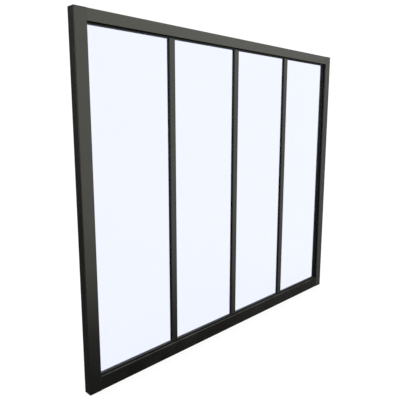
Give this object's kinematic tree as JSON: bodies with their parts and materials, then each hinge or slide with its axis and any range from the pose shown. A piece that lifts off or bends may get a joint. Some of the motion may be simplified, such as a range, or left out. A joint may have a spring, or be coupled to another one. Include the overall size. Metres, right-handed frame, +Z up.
{
  "type": "interior glass partition",
  "caption": "Slim black steel-framed interior glass partition with narrow upright mullions between tall fixed clear panes.",
  "frame": {"origin": "middle of the underside, on the bottom face of the bottom rail, halfway through the depth", "axes": "+Z up; +X along the partition, to the right when seen from the front; the front faces -Y"},
  "size_m": [1.3, 0.03, 1.08],
  "materials": {
    "powder_coat": "satin black powder coat with a fine texture",
    "cap_plastic": "fine matte moulded black plastic",
    "clear_glass": "clear float glass with a faint cool tint",
    "gasket_rubber": "matte black glazing gasket"
  },
  "bodies": {
    "root": {"left_stile": "powder_coat", "right_stile": "powder_coat", "bottom_rail": "powder_coat", "top_rail": "powder_coat", "left_stile_bottom_cap": "cap_plastic", "left_stile_top_cap": "cap_plastic", "right_stile_bottom_cap": "cap_plastic", "right_stile_top_cap": "cap_plastic", "sill_channel": "powder_coat", "head_channel": "powder_coat", "left_channel": "powder_coat", "right_channel": "powder_coat", "mullion_1": "powder_coat", "mullion_2": "powder_coat", "mullion_3": "powder_coat", "glass_pane_1": "clear_glass", "glass_pane_2": "clear_glass", "glass_pane_3": "clear_glass", "glass_pane_4": "clear_glass", "front_gasket_1": "gasket_rubber", "front_gasket_2": "gasket_rubber", "front_gasket_3": "gasket_rubber", "front_gasket_4": "gasket_rubber", "back_gasket_1": "gasket_rubber", "back_gasket_2": "gasket_rubber", "back_gasket_3": "gasket_rubber", "back_gasket_4": "gasket_rubber"}
  },
  "joints": []
}
